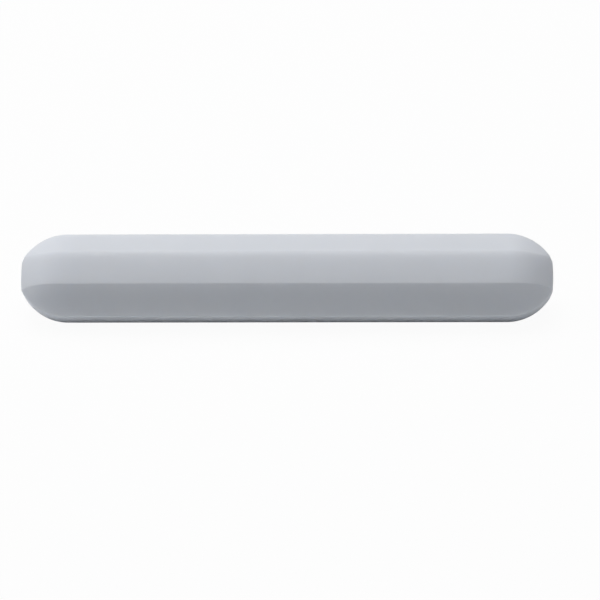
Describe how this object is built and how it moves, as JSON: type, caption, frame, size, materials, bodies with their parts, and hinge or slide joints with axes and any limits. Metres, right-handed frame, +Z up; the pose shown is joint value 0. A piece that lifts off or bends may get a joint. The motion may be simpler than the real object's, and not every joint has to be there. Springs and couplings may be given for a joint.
{
  "type": "magnetic stir bar",
  "caption": "Octagonal stirring bar for a magnetic stirrer: a sealed white fluoropolymer jacket with curved noses round a bar magnet.",
  "frame": {"origin": "centre of the flat that the bar rests on, half-way along its length", "axes": "+X along the bar, +Z up from the flat that it rests on, +Y across it"},
  "size_m": [0.0762, 0.0118, 0.0119],
  "materials": {
    "ptfe": "smooth satin, moulded, slightly bluish white",
    "cast_magnet": "cast and ground aluminium-nickel-cobalt alloy, dull grey"
  },
  "bodies": {
    "root": {"ptfe_jacket": "ptfe", "magnet_core": "cast_magnet"}
  },
  "joints": []
}
